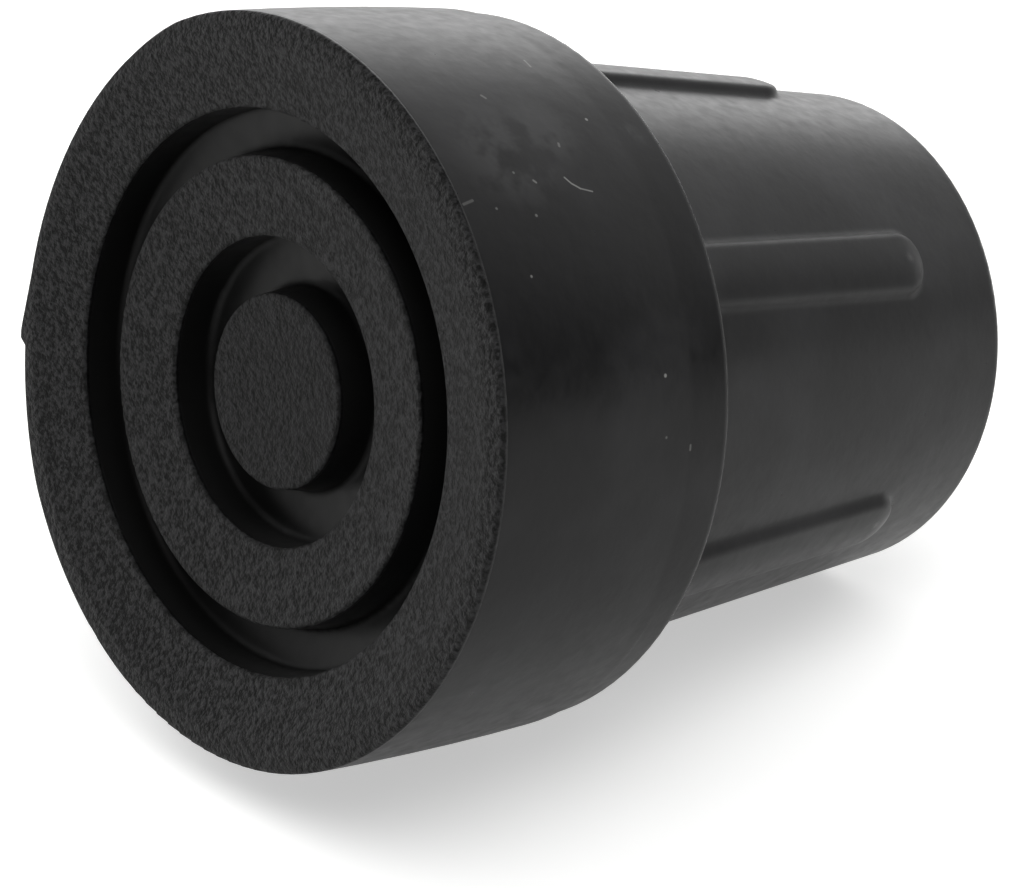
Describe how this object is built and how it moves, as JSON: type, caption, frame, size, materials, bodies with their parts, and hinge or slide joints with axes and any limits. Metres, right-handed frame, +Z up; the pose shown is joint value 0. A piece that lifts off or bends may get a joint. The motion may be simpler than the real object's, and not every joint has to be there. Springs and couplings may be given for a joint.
{
  "type": "cane tip",
  "caption": "Moulded rubber tip for a walking cane: wide grooved foot, ribbed tapered barrel and a blind socket for the shaft.",
  "frame": {"origin": "middle of the ground plane under the tread, on the socket's axis", "axes": "+Z up the socket's axis towards its mouth; +Y through the middle of a rib on the barrel"},
  "size_m": [0.0382, 0.0382, 0.043],
  "materials": {
    "black_rubber": "satin moulded black rubber, matt grained tread"
  },
  "bodies": {
    "root": {"cane_tip": "black_rubber"}
  },
  "joints": []
}
